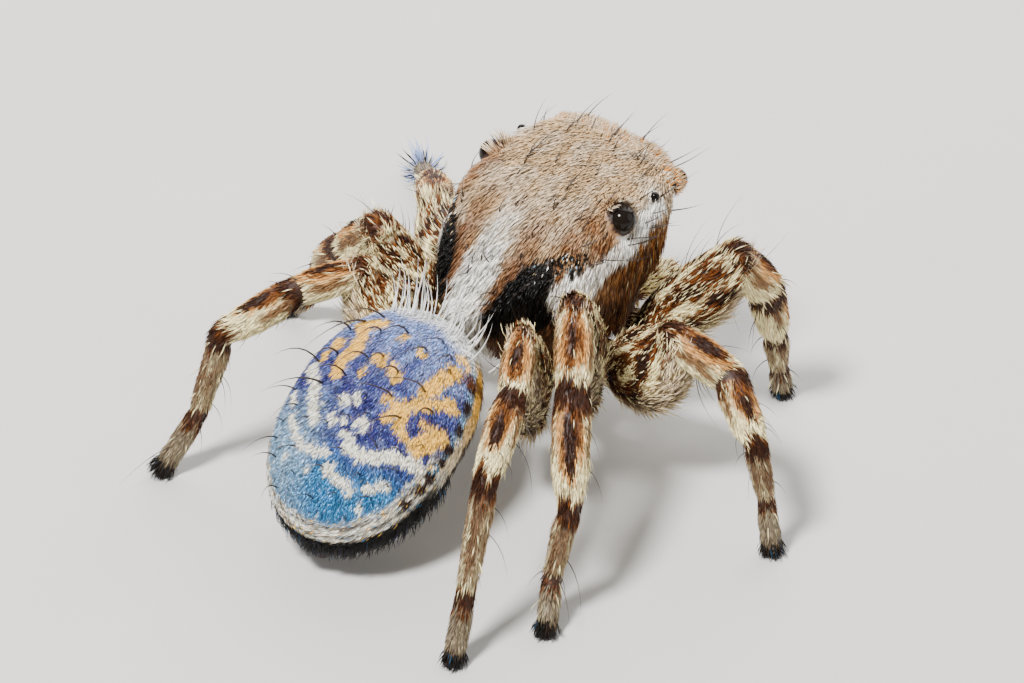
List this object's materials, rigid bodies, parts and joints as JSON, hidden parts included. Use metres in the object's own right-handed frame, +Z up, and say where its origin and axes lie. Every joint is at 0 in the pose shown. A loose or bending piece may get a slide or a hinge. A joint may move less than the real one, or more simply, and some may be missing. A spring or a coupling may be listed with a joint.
{
  "type": "peacock spider",
  "caption": "Still life-size model of a male peacock spider standing on its legs, with a patterned blue abdomen and a high furry head.",
  "frame": {"origin": "on the floor under the middle of the bounding box", "axes": "+Z up, the head points to -Y, and the animal's right side is -X"},
  "size_m": [0.005, 0.0048, 0.0021],
  "materials": {
    "carapace": "dense tan and grey lying hairs over a dark shell",
    "abdomen": "blue iridescent scales with cream and orange marks",
    "leg": "cream and brown banded lying hairs",
    "tarsus": "tan and brown hairs with dark foot tufts",
    "eye": "glossy black lens",
    "mouthparts": "brown shell with pale hairs",
    "underside": "dark brown satin shell"
  },
  "bodies": {
    "root": {"cephalothorax": "carapace", "abdomen": "abdomen", "pedicel": "underside", "spinnerets": "underside", "chelicera_left": "mouthparts", "chelicera_right": "mouthparts", "palp_left": "mouthparts", "palp_right": "mouthparts", "eye_anterior_median_left": "eye", "eye_anterior_median_right": "eye", "eye_anterior_lateral_left": "eye", "eye_anterior_lateral_right": "eye", "eye_posterior_median_left": "eye", "eye_posterior_median_right": "eye", "eye_posterior_lateral_left": "eye", "eye_posterior_lateral_right": "eye", "leg_left_1_femur": "leg", "leg_left_1_tibia": "leg", "leg_left_1_tarsus": "tarsus", "leg_left_2_femur": "leg", "leg_left_2_tibia": "leg", "leg_left_2_tarsus": "tarsus", "leg_left_3_femur": "leg", "leg_left_3_tibia": "leg", "leg_left_3_tarsus": "tarsus", "leg_left_4_femur": "leg", "leg_left_4_tibia": "leg", "leg_left_4_tarsus": "tarsus", "leg_right_1_femur": "leg", "leg_right_1_tibia": "leg", "leg_right_1_tarsus": "tarsus", "leg_right_2_femur": "leg", "leg_right_2_tibia": "leg", "leg_right_2_tarsus": "tarsus", "leg_right_3_femur": "leg", "leg_right_3_tibia": "leg", "leg_right_3_tarsus": "tarsus", "leg_right_4_femur": "leg", "leg_right_4_tibia": "leg", "leg_right_4_tarsus": "tarsus"}
  },
  "joints": []
}
